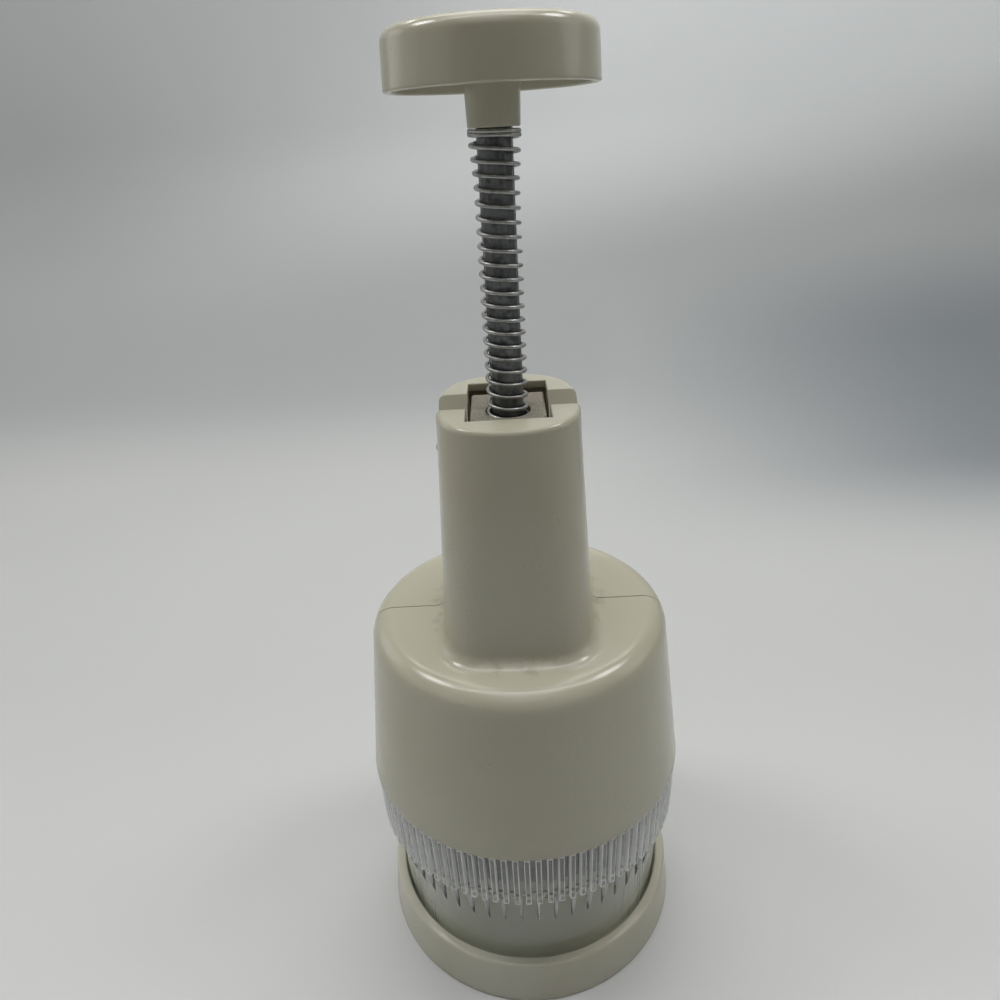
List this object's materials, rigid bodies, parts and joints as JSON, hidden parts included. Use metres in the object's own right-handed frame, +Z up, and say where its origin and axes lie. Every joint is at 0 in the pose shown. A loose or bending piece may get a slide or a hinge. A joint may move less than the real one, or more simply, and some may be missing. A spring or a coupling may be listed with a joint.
{
  "type": "plunger food chopper",
  "caption": "Free-standing hand chopper: pushing the sprung knob drives a folded blade down a clear ribbed chamber into a base cup, and a ratchet turns the blade.",
  "frame": {"origin": "centre of the base cup's underside, on the table, on the plunger's axis", "axes": "+Z up along the plunger rod, -Y towards the front of the neck, +X to the right of someone who faces the front"},
  "size_m": [0.092, 0.092, 0.2496],
  "materials": {
    "cream": "slightly glossy moulded plastic, ivory",
    "inner_cream": "matte moulded plastic, ivory",
    "clear": "clear polystyrene, lightly scratched",
    "steel": "drawn steel, dark grey with light mottling",
    "spring_wire": "bright drawn wire",
    "blade_steel": "satin stainless strip with a ground edge",
    "rubber": "matte black rubber"
  },
  "bodies": {
    "base": {"base_cup": "cream"},
    "chamber": {"clear_chamber": "clear"},
    "scraper": {"scraper_disc": "inner_cream"},
    "guide_frame": {"guide_block": "inner_cream", "front_hinge_pin": "steel", "rear_hinge_pin": "steel", "index_ring": "inner_cream", "index_screw_left": "steel", "index_screw_right": "steel", "stop_bumper": "rubber", "return_spring": "spring_wire"},
    "front_half": {"front_shell": "cream"},
    "rear_half": {"rear_shell": "cream"},
    "plunger": {"knob": "cream", "plunger_rod": "steel", "stop_clip": "steel"},
    "blade_head": {"ratchet_crown": "inner_cream", "crown_screw_1": "steel", "crown_screw_2": "steel", "blade_carrier": "inner_cream", "zigzag_blade": "blade_steel"}
  },
  "joints": [
    {"name": "chamber_lift", "type": "slide", "parent": "base", "child": "chamber", "axis": [0, 0, 1], "range_m": [0, 0.06]},
    {"name": "housing_lift", "type": "slide", "parent": "chamber", "child": "guide_frame", "axis": [0, 0, 1], "range_m": [0, 0.09]},
    {"name": "front_half_open", "type": "hinge", "parent": "guide_frame", "child": "front_half", "pos_m": [0, -0.006, 0.1594], "axis": [-1, 0, 0], "range_deg": [0, 25]},
    {"name": "rear_half_open", "type": "hinge", "parent": "guide_frame", "child": "rear_half", "pos_m": [0, 0.006, 0.1594], "axis": [1, 0, 0], "range_deg": [0, 25]},
    {"name": "plunger_slide", "type": "slide", "parent": "guide_frame", "child": "plunger", "axis": [0, 0, -1], "range_m": [0, 0.04], "stiffness_N_per_m": 300, "springref_m": -0.02, "deforming": ["return_spring"]},
    {"name": "blade_turn", "type": "hinge", "parent": "plunger", "child": "blade_head", "pos_m": [0, 0, 0.09], "axis": [0, 0, 1], "range_deg": [0, 30]},
    {"name": "scraper_turn", "type": "hinge", "parent": "chamber", "child": "scraper", "pos_m": [0, 0, 0.044], "axis": [0, 0, 1], "range_deg": [0, 30]}
  ],
  "couplings": [
    {"joint": "blade_turn", "follows": "plunger_slide", "rad_per_m": 13},
    {"joint": "scraper_turn", "follows": "plunger_slide", "rad_per_m": 13}
  ]
}
